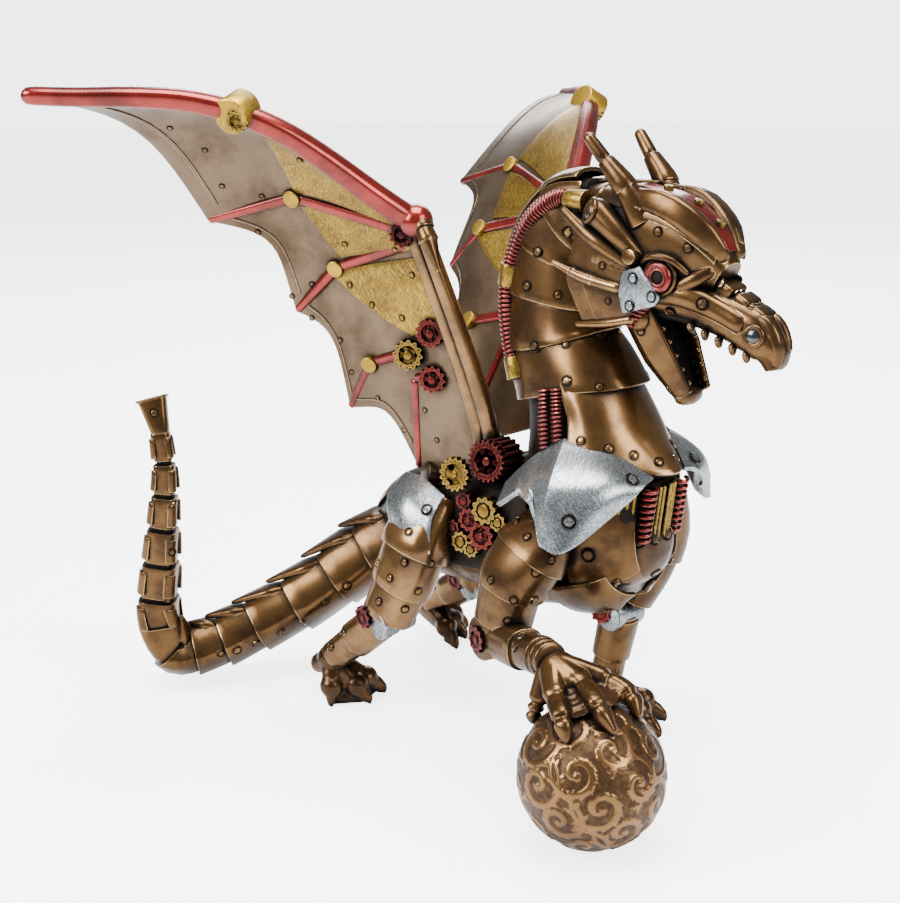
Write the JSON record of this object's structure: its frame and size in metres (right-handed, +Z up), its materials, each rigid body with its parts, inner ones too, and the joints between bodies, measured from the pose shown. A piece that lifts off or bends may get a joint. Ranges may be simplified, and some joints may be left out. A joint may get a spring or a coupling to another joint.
{
  "type": "dragon statue",
  "caption": "Clockwork dragon figure in plated, bronze-painted cast resin, wings spread and a forepaw on a scroll-engraved ball, standing free on its own feet.",
  "frame": {"origin": "middle of the footprint, on the floor that the soles and the ball stand on", "axes": "+X the way the dragon faces, +Y towards its left side, +Z up"},
  "size_m": [0.2452, 0.2988, 0.2444],
  "materials": {
    "bronze": "antique bronze paint, dark in the recesses and rubbed bright on the edges",
    "wing_bronze": "satin grey-brown bronze paint, darker along the edges",
    "ball_bronze": "coppery bronze paint over dark scrolls",
    "silver": "brushed silver paint with dark scratches",
    "gold": "brushed yellow gold paint with dark streaks",
    "red": "metallic red paint",
    "dark": "near-black wash in the works",
    "lens": "gloss black lens paint"
  },
  "bodies": {
    "root": {"dragon_body": "bronze", "right_wing": "wing_bronze", "left_wing": "wing_bronze", "ball": "ball_bronze"}
  },
  "joints": []
}
